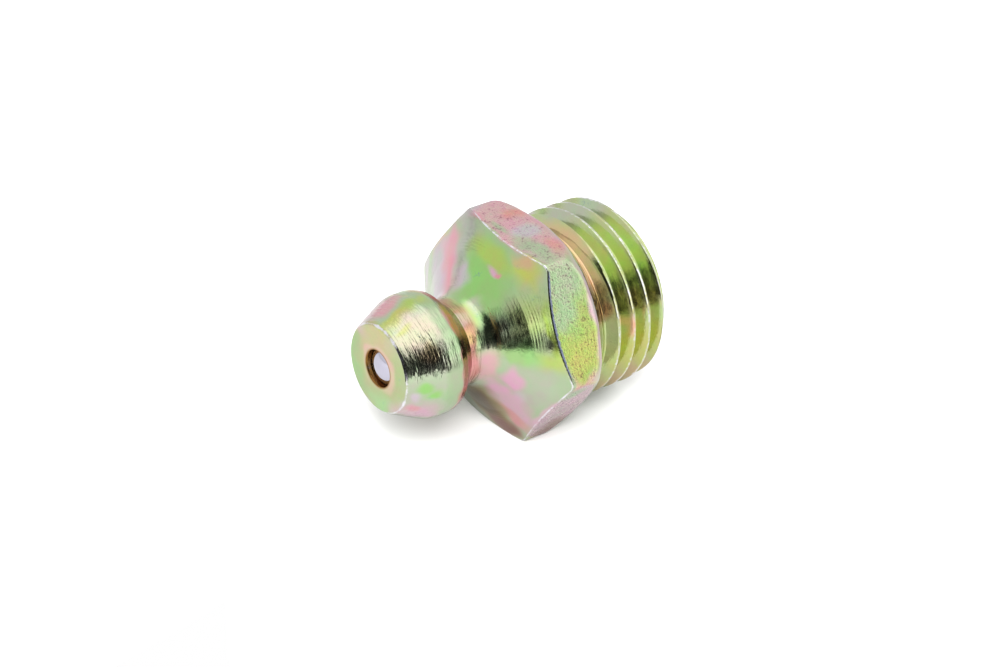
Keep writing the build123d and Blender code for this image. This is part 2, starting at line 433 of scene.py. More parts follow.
class Graph:
    """A node tree that is filled by short calls."""

    def __init__(self, tree: bpy.types.NodeTree) -> None:
        """Takes over the tree and clears it."""
        self.tree = tree
        tree.nodes.clear()

    def node(self, kind: str, inputs: dict[Any, Any] | None = None, **settings: Any) -> bpy.types.Node:
        """Adds a node.

        Args:
            kind: Its type's name.
            inputs: A value or another node's output for each named or numbered input.
            settings: Values of the node's own properties.

        Returns:
            The new node.
        """
        made = self.tree.nodes.new(kind)
        for name, value in settings.items():
            setattr(made, name, value)
        for name, value in (inputs or {}).items():
            self.feed(made.inputs[name], value)
        return made

    def feed(self, socket: bpy.types.NodeSocket, value: Any) -> None:
        """Links an output to a socket, or sets the socket's own value.

        Args:
            socket: The socket.
            value: The output or the value.
        """
        if isinstance(value, bpy.types.NodeSocket):
            self.tree.links.new(value, socket)
        else:
            socket.default_value = value

    def math(self, operation: str, *values: Any, clamp: bool = False) -> bpy.types.NodeSocket:
        """The output of a Math node on the values."""
        made = self.node("ShaderNodeMath", dict(enumerate(values)), operation=operation, use_clamp=clamp)
        return made.outputs[0]

    def vector(self, operation: str, *values: Any) -> bpy.types.NodeSocket:
        """The vector output of a Vector Math node on the values."""
        made = self.node("ShaderNodeVectorMath", dict(enumerate(values)), operation=operation)
        return made.outputs["Vector"]

    def scaled(self, vector: Any, scale: Any) -> bpy.types.NodeSocket:
        """The vector times a number."""
        made = self.node("ShaderNodeVectorMath", {0: vector, "Scale": scale}, operation="SCALE")
        return made.outputs["Vector"]

    def dot(self, first: Any, second: Any) -> bpy.types.NodeSocket:
        """The dot product of two vectors."""
        made = self.node("ShaderNodeVectorMath", {0: first, 1: second}, operation="DOT_PRODUCT")
        return made.outputs["Value"]

    def mix(self, share: Any, first: Any, second: Any, blend: str = "MIX") -> bpy.types.NodeSocket:
        """The colour between two colours.

        Args:
            share: How much of the second colour shows.
            first: The first colour.
            second: The second colour.
            blend: How the second colour is laid over the first.

        Returns:
            The output with the mixed colour.
        """
        made = self.node("ShaderNodeMix", data_type="RGBA", blend_type=blend, clamp_factor=True)
        for socket, value in ((0, share), (6, first), (7, second)):
            self.feed(made.inputs[socket], value)
        return made.outputs[2]

    def smooth(
        self, value: Any, span: tuple[float, float], levels: tuple[float, float] = (0.0, 1.0)
    ) -> bpy.types.NodeSocket:
        """A smooth step.

        Args:
            value: What it depends on.
            span: The values between which it changes.
            levels: What it gives before and after them.

        Returns:
            The output with the step.
        """
        given = {"From Min": span[0], "From Max": span[1], "To Min": levels[0], "To Max": levels[1]}
        made = self.node("ShaderNodeMapRange", {"Value": value, **given}, interpolation_type="SMOOTHSTEP")
        return made.outputs["Result"]

    def noise(self, vector: Any, scale: float, detail: float, roughness: float) -> bpy.types.NodeSocket:
        """The factor of a Noise texture."""
        given = {"Vector": vector, "Scale": scale, "Detail": detail, "Roughness": roughness}
        return self.node("ShaderNodeTexNoise", given).outputs[0]

    def attribute(self, name: str, output: str = "Fac") -> bpy.types.NodeSocket:
        """An output of a mesh attribute."""
        return self.node("ShaderNodeAttribute", attribute_name=name).outputs[output]

    def place(self) -> bpy.types.NodeSocket:
        """The place in the object, in metres."""
        return self.node("ShaderNodeTexCoord").outputs["Object"]

    def group(self, tree: bpy.types.NodeTree, inputs: dict[str, Any]) -> Any:
        """The outputs of a node group."""
        return self.node("ShaderNodeGroup", inputs, node_tree=tree).outputs

    def bump(self, height: Any, strength: Any, depth: float, normal: Any = None) -> bpy.types.NodeSocket:
        """The normal of a Bump node.

        Args:
            height: The height's output.
            strength: How much of it shows.
            depth: Its depth in millimetres.
            normal: The normal that it is laid over, if not the mesh's own.

        Returns:
            The output with the new normal.
        """
        given = {"Height": height, "Strength": strength, "Distance": depth * MM}
        if normal is not None:
            given["Normal"] = normal
        return self.node("ShaderNodeBump", given).outputs[0]

    def metal(self, colour: Any, roughness: Any, normal: Any) -> None:
        """Ends a material with a metal's shader.

        Args:
            colour: Its base colour.
            roughness: Its roughness.
            normal: Its normal.
        """
        given = {"Base Color": colour, "Metallic": 1.0, "Roughness": roughness, "Normal": normal}
        shader = self.node("ShaderNodeBsdfPrincipled", given)
        self.node("ShaderNodeOutputMaterial", {"Surface": shader.outputs[0]})


def new_group(name: str, inputs: dict[str, Any], outputs: Sequence[str]) -> tuple[Graph, Any, Any]:
    """Makes an empty shader node group.

    Args:
        name: Its name.
        inputs: The default of each float input, or None for a vector input.
        outputs: The names of its float outputs.

    Returns:
        Its graph, the sockets that give its inputs and those that take its outputs.
    """
    tree = bpy.data.node_groups.new(name, "ShaderNodeTree")
    for socket_name, default in inputs.items():
        kind = "NodeSocketVector" if default is None else "NodeSocketFloat"
        socket = tree.interface.new_socket(socket_name, in_out="INPUT", socket_type=kind)
        if default is not None:
            socket.default_value = default
    for socket_name in outputs:
        tree.interface.new_socket(socket_name, in_out="OUTPUT", socket_type="NodeSocketFloat")
    graph = Graph(tree)
    return graph, graph.node("NodeGroupInput").outputs, graph.node("NodeGroupOutput").inputs


@dataclass(frozen=True)
class MetalGrain:
    """Fine roughness of a metal surface, shared by every material of the nipple.

    Attributes:
        name: The group's name.
        fine_scale: Waves of the fine grain in a metre.
        coarse_scale: Waves of the coarse grain in a metre.
        fine_share: How much of the height the fine grain makes.
    """

    name: str = "metal_grain"
    fine_scale: float = 9000.0
    coarse_scale: float = 2600.0
    fine_share: float = 0.6

    def group(self) -> bpy.types.NodeTree:
        """The node group, which is built once.

        Returns:
            A group that gives a height and a mask, which change over the surface.
        """
        if self.name in bpy.data.node_groups:
            return bpy.data.node_groups[self.name]
        graph, given, out = new_group(
            self.name, {"Vector": None, "Scale": 1.0, "Contrast": 1.0}, ("Height", "Mask")
        )
        place = graph.scaled(given["Vector"], given["Scale"])
        fine = graph.noise(place, self.fine_scale, 3.0, 0.6)
        coarse = graph.noise(place, self.coarse_scale, 2.0, 0.5)
        coarse_height = graph.math("MULTIPLY", coarse, 1.0 - self.fine_share)
        mask = graph.math("MULTIPLY_ADD", graph.math("SUBTRACT", coarse, 0.5), given["Contrast"], 0.5)
        graph.feed(out["Height"], graph.math("MULTIPLY_ADD", fine, self.fine_share, coarse_height))
        graph.feed(out["Mask"], graph.math("ADD", mask, 0.0, clamp=True))
        return graph.tree


@dataclass(frozen=True)
class TurningMarks:
    """Marks that a lathe tool leaves round the axis, broken up along their length.

    Attributes:
        name: The group's name.
        long_spread: Waves of the long marks in a metre, round the axis.
        short_spread: Waves of the short marks in a metre, round the axis.
        short_share: How much of the height the short marks make.
    """

    name: str = "turning_marks"
    long_spread: float = 260.0
    short_spread: float = 1500.0
    short_share: float = 0.55

    def group(self) -> bpy.types.NodeTree:
        """The node group, which is built once.

        Returns:
            A group that gives a height from the place along the outline and the place in the object.
        """
        if self.name in bpy.data.node_groups:
            return bpy.data.node_groups[self.name]
        graph, given, out = new_group(self.name, {"Vector": None, "Along": 0.0, "Pitch": 12.0}, ("Height",))
        parts = graph.node("ShaderNodeSeparateXYZ", {0: given["Vector"]}).outputs
        row = graph.math("MULTIPLY", given["Along"], given["Pitch"])
        heights = []
        for spread in (self.long_spread, self.short_spread):
            y, z = (graph.math("MULTIPLY", parts[axis], spread) for axis in ("Y", "Z"))
            place = graph.node("ShaderNodeCombineXYZ", {0: row, 1: y, 2: z}).outputs[0]
            heights.append(graph.noise(place, 1.0, 2.0, 0.6))
        short = graph.math("MULTIPLY", heights[1], self.short_share)
        graph.feed(out["Height"], graph.math("MULTIPLY_ADD", heights[0], 1.0 - self.short_share, short))
        return graph.tree


# ---------------------------------------------------------------- finishes


def new_material(name: str) -> tuple[bpy.types.Material, Graph]:
    """Makes an empty material with nodes.

    Args:
        name: Its name.

    Returns:
        The material and its graph.
    """
    material = bpy.data.materials.new(name)
    material.use_nodes = True
    return material, Graph(material.node_tree)


@dataclass(frozen=True)
class PlatedSteel:
    """Turned steel with a yellow iridescent zinc plating.

    Attributes:
        roughness: Of the turned surfaces.
        drawn_roughness: Of the flats, which keep the drawn bar's skin.
        rough_spread: How far the roughness differs from grain to grain.
        tints: The two display colours between which the film wavers from place to place.
        cloud_scale: Waves of that wavering in a metre.
        mottle: How far it wavers.
        speckle: How much it wavers from grain to grain.
        drawn_speckle: How much more it does on the drawn skin.
        pits: Heights of the grain at which a pit of the drawn skin starts and is full.
        pit_soil: How dirty a full pit is.
        soil: Display colour of the painted shade and of the grime in pits.
        bare: Display colour of an edge that is worn bright.
        bare_span: Wear at which such an edge starts and is full.
        slate: Display colour of an edge where the plating is dull and dark.
        slate_span: Wear at which that starts and is full.
        edge_grain: How far the grain breaks up the wear.
        edge_cloud: How far the wavering breaks it up.
        marks_per_mm: Turning marks in a millimetre.
        mark_depth: Depth of the deepest turning marks, in millimetres.
        grain_depth: Depth of the grain, in millimetres.
        turned_grain: How much of that depth the turned surfaces have.
        drawn_grain: How much more of it the drawn skin has.
        contrast: Of the grain's mask.
    """

    roughness: float = 0.15
    drawn_roughness: float = 0.24
    rough_spread: float = 0.16
    tints: tuple[tuple[float, float, float], ...] = ((1.0, 0.90, 0.95), (0.93, 1.0, 0.90))
    cloud_scale: float = 900.0
    mottle: float = 1.6
    speckle: float = 0.6
    drawn_speckle: float = 2.6
    pits: tuple[float, float] = (0.47, 0.34)
    pit_soil: float = 0.55
    soil: tuple[float, float, float] = (0.30, 0.24, 0.18)
    bare: tuple[float, float, float] = (0.93, 0.92, 0.95)
    bare_span: tuple[float, float] = (0.30, 0.90)
    slate: tuple[float, float, float] = (0.52, 0.55, 0.64)
    slate_span: tuple[float, float] = (0.25, 0.80)
    edge_grain: float = 1.8
    edge_cloud: float = 1.4
    marks_per_mm: float = 7.0
    mark_depth: float = 0.09
    grain_depth: float = 0.04
    turned_grain: float = 0.12
    drawn_grain: float = 0.8
    contrast: float = 2.4

    def film_colour(self, graph: Graph, place: Any, grain: Any, drawn: Any) -> bpy.types.NodeSocket:
        """The colour that the film gives the metal, with painted shade, grime in pits and worn edges.

        Args:
            graph: The material's graph.
            place: The place in the object.
            grain: The height of the metal's grain.
            drawn: How much of the surface is the bar's drawn skin.

        Returns:
            The output with the colour.
        """
        film = graph.attribute("film", "Color")
        cloud = graph.math("SUBTRACT", graph.noise(place, self.cloud_scale, 4.0, 0.62), 0.5)
        fine = graph.math("SUBTRACT", grain, 0.5)
        fine_share = graph.math("MULTIPLY_ADD", drawn, self.drawn_speckle, self.speckle)
        share = graph.math("MULTIPLY_ADD", cloud, self.mottle, 0.5)
        share = graph.math("MULTIPLY_ADD", fine, fine_share, share)
        rosy, leafy = (graph.mix(1.0, film, linear(tint), "MULTIPLY") for tint in self.tints)
        colour = graph.mix(share, rosy, leafy)
        pit = graph.math("MULTIPLY", graph.smooth(grain, self.pits), drawn)
        # The mesh's painted shade, or the grime of a drawn pit, darkens the film towards one dark colour.
        grime = graph.math("MAXIMUM", graph.attribute("grime"), graph.math("MULTIPLY", pit, self.pit_soil))
        colour = graph.mix(grime, colour, linear(self.soil))
        worn = graph.attribute("worn")
        stray = graph.math("MULTIPLY", cloud, self.edge_cloud)
        stray = graph.math("MULTIPLY_ADD", fine, self.edge_grain, stray)
        bright = graph.smooth(graph.math("ADD", stray, worn), self.bare_span)
        bright = graph.math("MULTIPLY", bright, graph.smooth(worn, (0.0, self.bare_span[0])))
        colour = graph.mix(bright, colour, linear(self.bare))
        dull = graph.smooth(graph.math("SUBTRACT", stray, worn), self.slate_span)
        return graph.mix(dull, colour, linear(self.slate))

    def material(self) -> bpy.types.Material:
        """Builds the material, which reads the film and the kind of surface from the mesh.

        Returns:
            The new material.
        """
        material, graph = new_material("plated_steel")
        place, drawn = graph.place(), graph.attribute("drawn")
        grain = graph.group(MetalGrain().group(), {"Vector": place, "Contrast": self.contrast})
        marks = graph.group(
            TurningMarks().group(),
            {"Vector": place, "Along": graph.attribute("along"), "Pitch": self.marks_per_mm},
        )
        colour = self.film_colour(graph, place, grain["Height"], drawn)
        rough = graph.math("MULTIPLY_ADD", drawn, self.drawn_roughness - self.roughness, self.roughness)
        differs = graph.math("MULTIPLY_ADD", grain["Mask"], self.rough_spread, -self.rough_spread / 2)
        rough = graph.math("ADD", rough, differs)
        normal = graph.bump(marks["Height"], graph.attribute("turned"), self.mark_depth)
        grain_share = graph.math("MULTIPLY_ADD", drawn, self.drawn_grain, self.turned_grain)
        normal = graph.bump(grain["Height"], grain_share, self.grain_depth, normal)
        graph.metal(colour, rough, normal)
        return material


@dataclass(frozen=True)
class BareSteel:
    """Steel with no plating, as on the check ball and the spring.

    Attributes:
        name: The material's name.
        dark: Display colour where its grain is dark.
        light: Display colour where its grain is light.
        roughness: Where it is smoothest.
        rough_spread: How far the roughness differs from grain to grain.
        grain_scale: Fineness of the grain.
        contrast: Of the grain's mask.
        grain_share: How much of the grain's depth shows.
        grain_depth: In millimetres.
    """

    name: str
    dark: tuple[float, float, float]
    light: tuple[float, float, float]
    roughness: float
    rough_spread: float
    grain_scale: float
    contrast: float
    grain_share: float
    grain_depth: float

    def material(self) -> bpy.types.Material:
        """Builds the material.

        Returns:
            The new material.
        """
        material, graph = new_material(self.name)
        given = {"Vector": graph.place(), "Scale": self.grain_scale, "Contrast": self.contrast}
        grain = graph.group(MetalGrain().group(), given)
        colour = graph.mix(grain["Mask"], linear(self.dark), linear(self.light))
        rough = graph.math("MULTIPLY_ADD", grain["Mask"], self.rough_spread, self.roughness)
        graph.metal(colour, rough, graph.bump(grain["Height"], self.grain_share, self.grain_depth))
        return material


LAPPED_BALL_STEEL = BareSteel(
    name="ball_steel",
    dark=(0.74, 0.73, 0.79),
    light=(0.80, 0.79, 0.85),
    roughness=0.08,
    rough_spread=0.05,
    grain_scale=0.5,
    contrast=1.5,
    grain_share=0.1,
    grain_depth=0.003,
)
DRAWN_SPRING_STEEL = BareSteel(
    name="spring_steel",
    dark=(0.56, 0.56, 0.57),
    light=(0.72, 0.71, 0.70),
    roughness=0.26,
    rough_spread=0.12,
    grain_scale=0.8,
    contrast=2.0,
    grain_share=0.25,
    grain_depth=0.006,
)


# ---------------------------------------------------------------- meshes and objects


def smooth_mesh(name: str, points: np.ndarray, faces: Sequence[Sequence[int]]) -> bpy.types.Mesh:
    """Makes a smooth-shaded mesh.

    Args:
        name: Its name.
        points: Its points, in millimetres.
        faces: The numbers of each face's points.

    Returns:
        The mesh, in metres.
    """
    mesh = bpy.data.meshes.new(name)
    mesh.from_pydata((points * MM).tolist(), [], faces)
    mesh.polygons.foreach_set("use_smooth", np.ones(len(mesh.polygons), bool))
    return mesh


def linked_object(
    name: str, data: bpy.types.ID, material: bpy.types.Material | None = None
) -> bpy.types.Object:
    """Puts a new object into the scene.

    Args:
        name: Its name.
        data: Its mesh, lamp or camera.
        material: What dresses it.

    Returns:
        The object.
    """
    if material is not None:
        data.materials.append(material)
    obj = bpy.data.objects.new(name, data)
    bpy.context.scene.collection.objects.link(obj)
    return obj


# ---------------------------------------------------------------- outline of a turned piece


@dataclass
class Corner:
    """A corner of a turned outline.

    Attributes:
        x: Its place along the axis, one value or one for each column.
        radius: Its distance from the axis, one value or one for each column.
        rounding: Radius that the corner is rounded to.
        step: Longest step between the rows of the straight run that follows it.
        drawn: Whether that run is the bar's drawn skin.
    """

    x: float | np.ndarray
    radius: float | np.ndarray
    rounding: float = 0.0
    step: float = 0.15
    drawn: bool = False


@dataclass
class Rows:
    """Rows of points round the axis, with a value for each row and column.

    Attributes:
        x: Places along the axis.
        radius: Distances from the axis.
        dx: The outline's direction there, along the axis.
        dr: The outline's direction there, away from the axis.
        drawn: Whether the surface there is the bar's drawn skin.
    """

    x: np.ndarray
    radius: np.ndarray
    dx: np.ndarray
    dr: np.ndarray
    drawn: np.ndarray

    @classmethod
    def joined(cls, parts: Sequence[Rows]) -> Rows:
        """One set of rows from several that follow each other."""
        return cls(*(np.vstack([getattr(p, f.name) for p in parts]) for f in fields(cls)))


@dataclass
class SoftEdge:
    """A flat's soft rear edge, with a value for each column.

    Attributes:
        start_x: Where it starts on the flat.
        corner_x: Where its corner is.
        land_x: Where it lands on the crown.
        land_radius: The crown's radius there.
        landing: The crown's angle there, in radians.
    """

    start_x: np.ndarray
    corner_x: np.ndarray
    land_x: np.ndarray
    land_radius: np.ndarray
    landing: np.ndarray


def arc_point(
    corner: np.ndarray, ways: tuple[np.ndarray, np.ndarray], cut: np.ndarray, turn: np.ndarray, t: float
) -> tuple[np.ndarray, np.ndarray]:
    """A point of the arc that rounds a corner.

    Args:
        corner: The sharp corner, at each column.
        ways: Directions of the runs before and after it.
        cut: How far from the corner the arc starts.
        turn: Angle between the two runs, in radians.
        t: How far along the arc the point is, from 0 to 1.

    Returns:
        The point and the outline's direction there.
    """
    entry, leave = ways
    first, last = corner - entry * cut, corner + leave * cut
    a, b, c = (1 - t) ** 2, 2 * t * (1 - t) * np.cos(turn / 2), t * t
    point = (a * first + b * corner + c * last) / (a + b + c)
    turned = (b / 2 + c) / (a + b + c)
    way = entry * (1 - turned) + leave * turned
    return point, way / np.hypot(*way)


def turned_rows(corners: Sequence[Corner], columns: int) -> Rows:
    """Samples an open outline, each corner inside it rounded by an arc.

    Args:
        corners: The outline's corners, in order.
        columns: How many columns of points go round the axis.

    Returns:
        The rows from the first corner to the last.
    """
    points = [
        np.stack([np.broadcast_to(c.x, columns), np.broadcast_to(c.radius, columns)]).astype(float)
        for c in corners
    ]
    runs = [b - a for a, b in zip(points, points[1:])]
    ways = [run / np.hypot(*run) for run in runs]
    turns = [np.arccos(np.clip((a * b).sum(0), -1, 1)) for a, b in zip(ways, ways[1:])]
    sharp = np.zeros(columns)
    cuts = [sharp, *(c.rounding * np.tan(turn / 2) for c, turn in zip(corners[1:], turns)), sharp]
    found: list[tuple[np.ndarray, np.ndarray, float]] = []
    for i, corner in enumerate(corners[:-1]):
        if i:
            for t in (k / ARC_STEPS for k in range(ARC_STEPS)):
                point, way = arc_point(points[i], (ways[i - 1], ways[i]), cuts[i], turns[i - 1], t)
                found.append((point, way, corners[i - 1].drawn * (1 - t) + corner.drawn * t))
        start, stop = points[i] + ways[i] * cuts[i], points[i + 1] - ways[i] * cuts[i + 1]
        steps = max(1, math.ceil(np.hypot(*(stop - start)).max() / corner.step))
        for k in range(steps):
            found.append((start + (stop - start) * k / steps, ways[i], float(corner.drawn)))
    found.append((points[-1], ways[-1], float(corners[-2].drawn)))
    places, directions, skins = (np.array(column) for column in zip(*found))
    drawn = np.repeat(skins[:, None], columns, 1)
    return Rows(places[:, 0], places[:, 1], directions[:, 0], directions[:, 1], drawn)


@dataclass
class RoundedHexagon:
    """Section of the drawn bar, with one flat facing up.

    Attributes:
        flat_radius: From the axis to a flat.
        rounding: Radius of its corners.
    """

    flat_radius: float
    rounding: float

    @property
    def edge(self) -> float:
        """Angle from a flat's middle to where the rounded corner starts, in radians."""
        return math.atan((self.flat_radius - self.rounding) * TAN_30 / self.flat_radius)

    def columns(self, on_flat: int = 28, on_corner: int = 7) -> np.ndarray:
        """Lays out the columns round the axis, closer together on the corners.

        Args:
            on_flat: How many there are on a flat.
            on_corner: How many there are on a corner.

        Returns:
            Their angles, in radians.
        """
        flat = np.linspace(-self.edge, self.edge, on_flat, endpoint=False)
        corner = np.linspace(self.edge, SIXTH_TURN - self.edge, on_corner, endpoint=False)
        one = np.concatenate([flat, corner]) + math.pi / 2
        return np.concatenate([one + SIXTH_TURN * k for k in range(6)])

    def radius(self, angles: np.ndarray) -> np.ndarray:
        """The bar's radius.

        Args:
            angles: Angles in radians.

        Returns:
            The radius at each angle.
        """
        off = (angles - math.pi / 2 + SIXTH_TURN / 2) % SIXTH_TURN - SIXTH_TURN / 2
        on_flat = self.flat_radius / np.cos(off)
        centre = (self.flat_radius - self.rounding) / COS_30
        from_corner = SIXTH_TURN / 2 - np.abs(off)
        reach = np.sqrt(np.maximum(self.rounding**2 - (centre * np.sin(from_corner)) ** 2, 0))
        on_corner = centre * np.cos(from_corner) + reach
        return np.where(np.abs(off) <= self.edge, on_flat, on_corner)


# ---------------------------------------------------------------- body


@dataclass
class Thread:
    """The right-hand screw thread.

    Attributes:
        radius: Of its crests.
        pitch: From crest to crest.
        crest_x: Where a crest is at one angle.
        crest_angle: The angle at which it is there, in degrees.
        crest_share: Width of a crest's flat, in pitches.
        crest_softness: How far a crest's edge is rounded off.
        root_softness: How far a root's edge is rounded out.
        worn_depth: How far down from its top a crest is worn.
        worn_from: Where the worn crests start, from the seat.
    """

    radius: float
    pitch: float = 1.0
    crest_x: float = 1.555
    crest_angle: float = 154.0
    crest_share: float = 0.125
    crest_softness: float = 0.016
    root_softness: float = 0.032
    worn_depth: float = 0.05
    worn_from: float = 0.1

    @property
    def depth(self) -> float:
        """From crest to root."""
        return THREAD_DEPTH_RATIO * self.pitch

    @property
    def root(self) -> float:
        """Radius of its root."""
        return self.radius - self.depth

    def turned(self, angle: np.ndarray) -> np.ndarray:
        """Turns from crest_angle to each angle in radians."""
        return (angle - math.radians(self.crest_angle)) / math.tau

    def phases(self, at_crest: float = 0.02, at_root: float = 0.025, on_flank: int = 6) -> np.ndarray:
        """Places a pitch's rows, closer together at the edges.

        Args:
            at_crest: Distance of the rows beside a crest's edge, in pitches.
            at_root: Distance of the rows beside a root's edge, in pitches.
            on_flank: How many rows a flank has.

        Returns:
            The rows' places, in pitches from the crest's middle.
        """
        edge, foot = self.crest_share / 2, self.crest_share / 2 + THREAD_DEPTH_RATIO * TAN_30
        flank = np.linspace(edge + at_crest, foot - at_root, on_flank)
        half = np.concatenate([[edge - at_crest, edge], flank, [foot, foot + at_root]])
        return np.concatenate([-half[::-1], [0.0], half, [0.5]])

    def helix_radius(self, x: np.ndarray, angle: np.ndarray) -> np.ndarray:
        """The radius that the threading tool leaves.

        Args:
            x: Places along the axis.
            angle: Angles in radians.

        Returns:
            The radius at each place.
        """
        off = ((x - self.crest_x) / self.pitch - self.turned(angle) + 0.5) % 1.0 - 0.5
        down = (np.abs(off) - self.crest_share / 2) * self.pitch / TAN_30
        down = 0.5 * (down + np.sqrt(down**2 + self.crest_softness**2))
        up = self.depth - down
        return self.root + 0.5 * (up + np.sqrt(up**2 + self.root_softness**2))

    def crest_share_at(self, x: np.ndarray, radius: np.ndarray) -> np.ndarray:
        """How near each place is to the top of a crest, from 0 to 1."""
        return np.clip((radius - self.radius) / self.worn_depth + 1, 0, 1) * (x > self.worn_from)


@dataclass
class Body:
    """The turned body: coupler head, neck, shoulder, hexagon and screwed shank.

    Lengths and radii are in millimetres and angles in degrees. Two angles or radii in one field are the
    outer and the inner, or the lower and the upper end.
    """

    flat_radius: float
    head_radius: float
    thread: Thread
    shank_length: float
    face_x: float
    # coupler head
    face_radius: float = 2.4
    face_chamfer: float = 0.12
    face_rounding: float = 0.08
    nose_rounding: float = 1.5
    land_length: float = 0.9
    land_rounding: float = 0.8
    heel_drop: float = 0.15
    heel_length: float = 0.45
    heel_rounding: float = 0.18
    # neck and shoulder
    neck_radius: float = 2.3
    neck_length: float = 1.2
    neck_rounding: float = 0.1
    shoulder_fillet: float = 1.0
    shoulder_angles: tuple[float, float] = (28.0, 32.5)
    bend_radius: float = 4.25
    bend_rounding: float = 0.6
    feed_ring: tuple[float, float] = (4.25, 4.95)  # ring with the marks of a coarser feed
    feed_ring_fade: float = 0.125
    feed_pitch: float = 0.15
    feed_tilt: float = 2.8  # how far a feed mark tilts the surface
    # hexagon and its crown
    hexagon_corner: float = 0.5
    hexagon_length: float = 2.85
    edge_rounding: float = 0.1  # of the flats' front edge
    edge_lead: float = 0.42  # length of a flat that eases into its rear edge
    edge_turn: float = 14.0  # part of the crown's arc that the rear edge takes up
    least_turn: float = 1.0  # part of the arc that is left between that edge and the seat
    edge_skin: float = 0.55  # share of the rear edge that keeps the drawn skin
    crown_radius: float = 1.6
    crown_angle: float = 20.0
    seat_inset: float = 0.15
    # shank
    corner_clearance: float = 0.05
    runout_width: float = 0.25
    runout_fillet: float = 0.15
    runout_depth_ratio: float = 1.25
    blank_softness: float = 0.012  # rounding where the thread runs into groove and chamfer
    # grease passage, with the rolled collar that holds the spring in
    inlet_radius: float = 1.0
    inlet_length: float = 0.35
    bore_radius: float = 1.65
    recess_depth: float = 1.3
    recess_wall: float = 0.85
    collar_wall: float = 0.45
    collar_setback: float = 0.35
    lip_overhang: float = 0.55
    lip_thickness: float = 0.5
    lip_rim: float = 0.1
    passage_margin: float = 0.01  # how far outside these radii a point still counts as inside
    film: Film = field(default_factory=Film)
    finish: PlatedSteel = field(default_factory=PlatedSteel)

    @classmethod
    def from_frame(cls, record: dict[str, Any]) -> Body:
        """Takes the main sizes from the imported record's mounts and the body's box.

        Args:
            record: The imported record.

        Returns:
            The body.
        """
        mounts = {m["name"]: m for m in record["mounts"]}
        low, high = (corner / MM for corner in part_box("body"))
        return cls(
            flat_radius=mounts["spanner_flat"]["pos_m"][2] / MM,
            head_radius=mounts["coupler_head"]["dims"]["r_mm"],
            thread=Thread(mounts["thread"]["dims"]["r_mm"]),
            shank_length=high.x,
            face_x=low.x,
        )

    @property
    def seat_radius(self) -> float:
        """Outer radius of the seat."""
        return self.flat_radius - self.seat_inset

    @property
    def crown_centre(self) -> tuple[float, float]:
        """Centre of the crown's arc: its place along the axis and its distance from the axis."""
        low = math.radians(self.crown_angle)
        return -self.crown_radius * math.cos(low), self.seat_radius - self.crown_radius * math.sin(low)

    @property
    def corner_radius(self) -> float:
        """Inner radius of the seat."""
        return self.thread.radius + self.corner_clearance

    @property
    def runout_radius(self) -> float:
        """Radius of the groove where the threading tool runs out."""
        return self.thread.radius - self.runout_depth_ratio * self.thread.depth

    @property
    def runout_rear_x(self) -> float:
        """Where the groove's floor ends."""
        return (self.corner_radius - self.runout_radius) * TAN_30 + self.runout_width

    @property
    def outlet_radius(self) -> float:
        """Radius of the hole in the rolled collar."""
        return self.bore_radius - self.lip_overhang

    @property
    def lip_x(self) -> float:
        """Where the collar's lip ends the bore."""
        return self.shank_length - self.collar_setback - self.lip_thickness

    def front_corners(self, bar: np.ndarray) -> list[Corner]:
        """The outline from the inlet's rim over the head and shoulder to the flats' rear edge.

        Args:
            bar: The bar's radius at each column.

        Returns:
            The outline's corners.
        """
        outer, inner = (math.tan(math.radians(angle)) for angle in self.shoulder_angles)
        flat_front = -self.hexagon_length
        neck_front = flat_front - (self.flat_radius - self.neck_radius) * TAN_30 - self.neck_length
        bend = flat_front - (self.flat_radius - self.bend_radius) * outer
        shoulder = bend - (self.bend_radius - self.neck_radius) * inner
        heel_radius = self.head_radius - self.heel_drop
        heel = neck_front - (heel_radius - self.neck_radius)
        land_rear = heel - self.heel_length
        land_front = land_rear - self.land_length
        rim = self.face_radius - self.face_chamfer
        bar_front = flat_front + (bar - self.flat_radius) * outer
        return [
            Corner(self.face_x, self.inlet_radius, step=0.12),
            Corner(self.face_x, rim, self.face_rounding, step=0.1),
            Corner(self.face_x + self.face_chamfer, self.face_radius, self.face_rounding, step=0.05),
            Corner(land_front, self.head_radius, self.nose_rounding, step=0.1),
            Corner(land_rear, self.head_radius, self.land_rounding, step=0.1),
            Corner(heel, heel_radius, self.heel_rounding, step=0.1),
            Corner(neck_front, self.neck_radius, self.neck_rounding, step=0.1),
            Corner(shoulder, self.neck_radius, self.shoulder_fillet, step=0.08),
            Corner(bend, self.bend_radius, self.bend_rounding, step=0.04),
            Corner(bar_front, bar, self.edge_rounding, step=0.16, drawn=True),
            Corner(self.soft_edge(bar).start_x, bar),
        ]

    def feed_marked(self, rows: Rows) -> Rows:
        """Adds the marks of a coarser feed to a ring of the shoulder.

        Args:
            rows: The rows of the body's front.

        Returns:
            The same rows, with the ring's outline rippled.
        """
        low, high = self.feed_ring
        turn = math.tau * (rows.radius - low) / self.feed_pitch
        within = (rows.radius - low) * (high - rows.radius) / (high - low)
        inside = np.clip(within / self.feed_ring_fade, 0, 1)
        inside = inside * (rows.x > -self.hexagon_length - (self.flat_radius - low))
        tilt = math.radians(self.feed_tilt) * inside
        rows.x = rows.x - tilt * self.feed_pitch / math.tau * np.sin(turn)
        slope = tilt * np.cos(turn)
        rows.dx, rows.dr = rows.dx - slope * rows.dr, rows.dr + slope * rows.dx
        return rows

